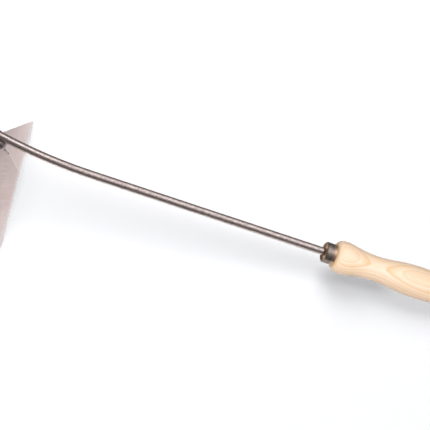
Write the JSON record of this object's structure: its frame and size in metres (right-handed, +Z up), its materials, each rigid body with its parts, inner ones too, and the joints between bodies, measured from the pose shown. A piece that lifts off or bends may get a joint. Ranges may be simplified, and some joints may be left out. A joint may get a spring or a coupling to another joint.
{
  "type": "winged draw hoe",
  "caption": "Short-handled draw hoe: a creased, swept-wing steel blade welded to a round bent shaft, with a steel ferrule and a turned ash handle.",
  "frame": {"origin": "on the bench, below the middle of the tool's length and width, as it rests on both blade tips and the handle's swell", "axes": "+X from the blade to the handle, +Y across the blade, +Z up off the bench; the tool is symmetrical about Y = 0"},
  "size_m": [0.5186, 0.1606, 0.0887],
  "materials": {
    "blade_steel": "fine brushed satin",
    "shaft_steel": "satin drawn bar",
    "weld_metal": "rippled as-welded",
    "ferrule_steel": "dark gunmetal satin",
    "ash_wood": "sanded and oiled"
  },
  "bodies": {
    "root": {"blade": "blade_steel", "shaft": "shaft_steel", "weld": "weld_metal", "ferrule": "ferrule_steel", "handle": "ash_wood"}
  },
  "joints": []
}
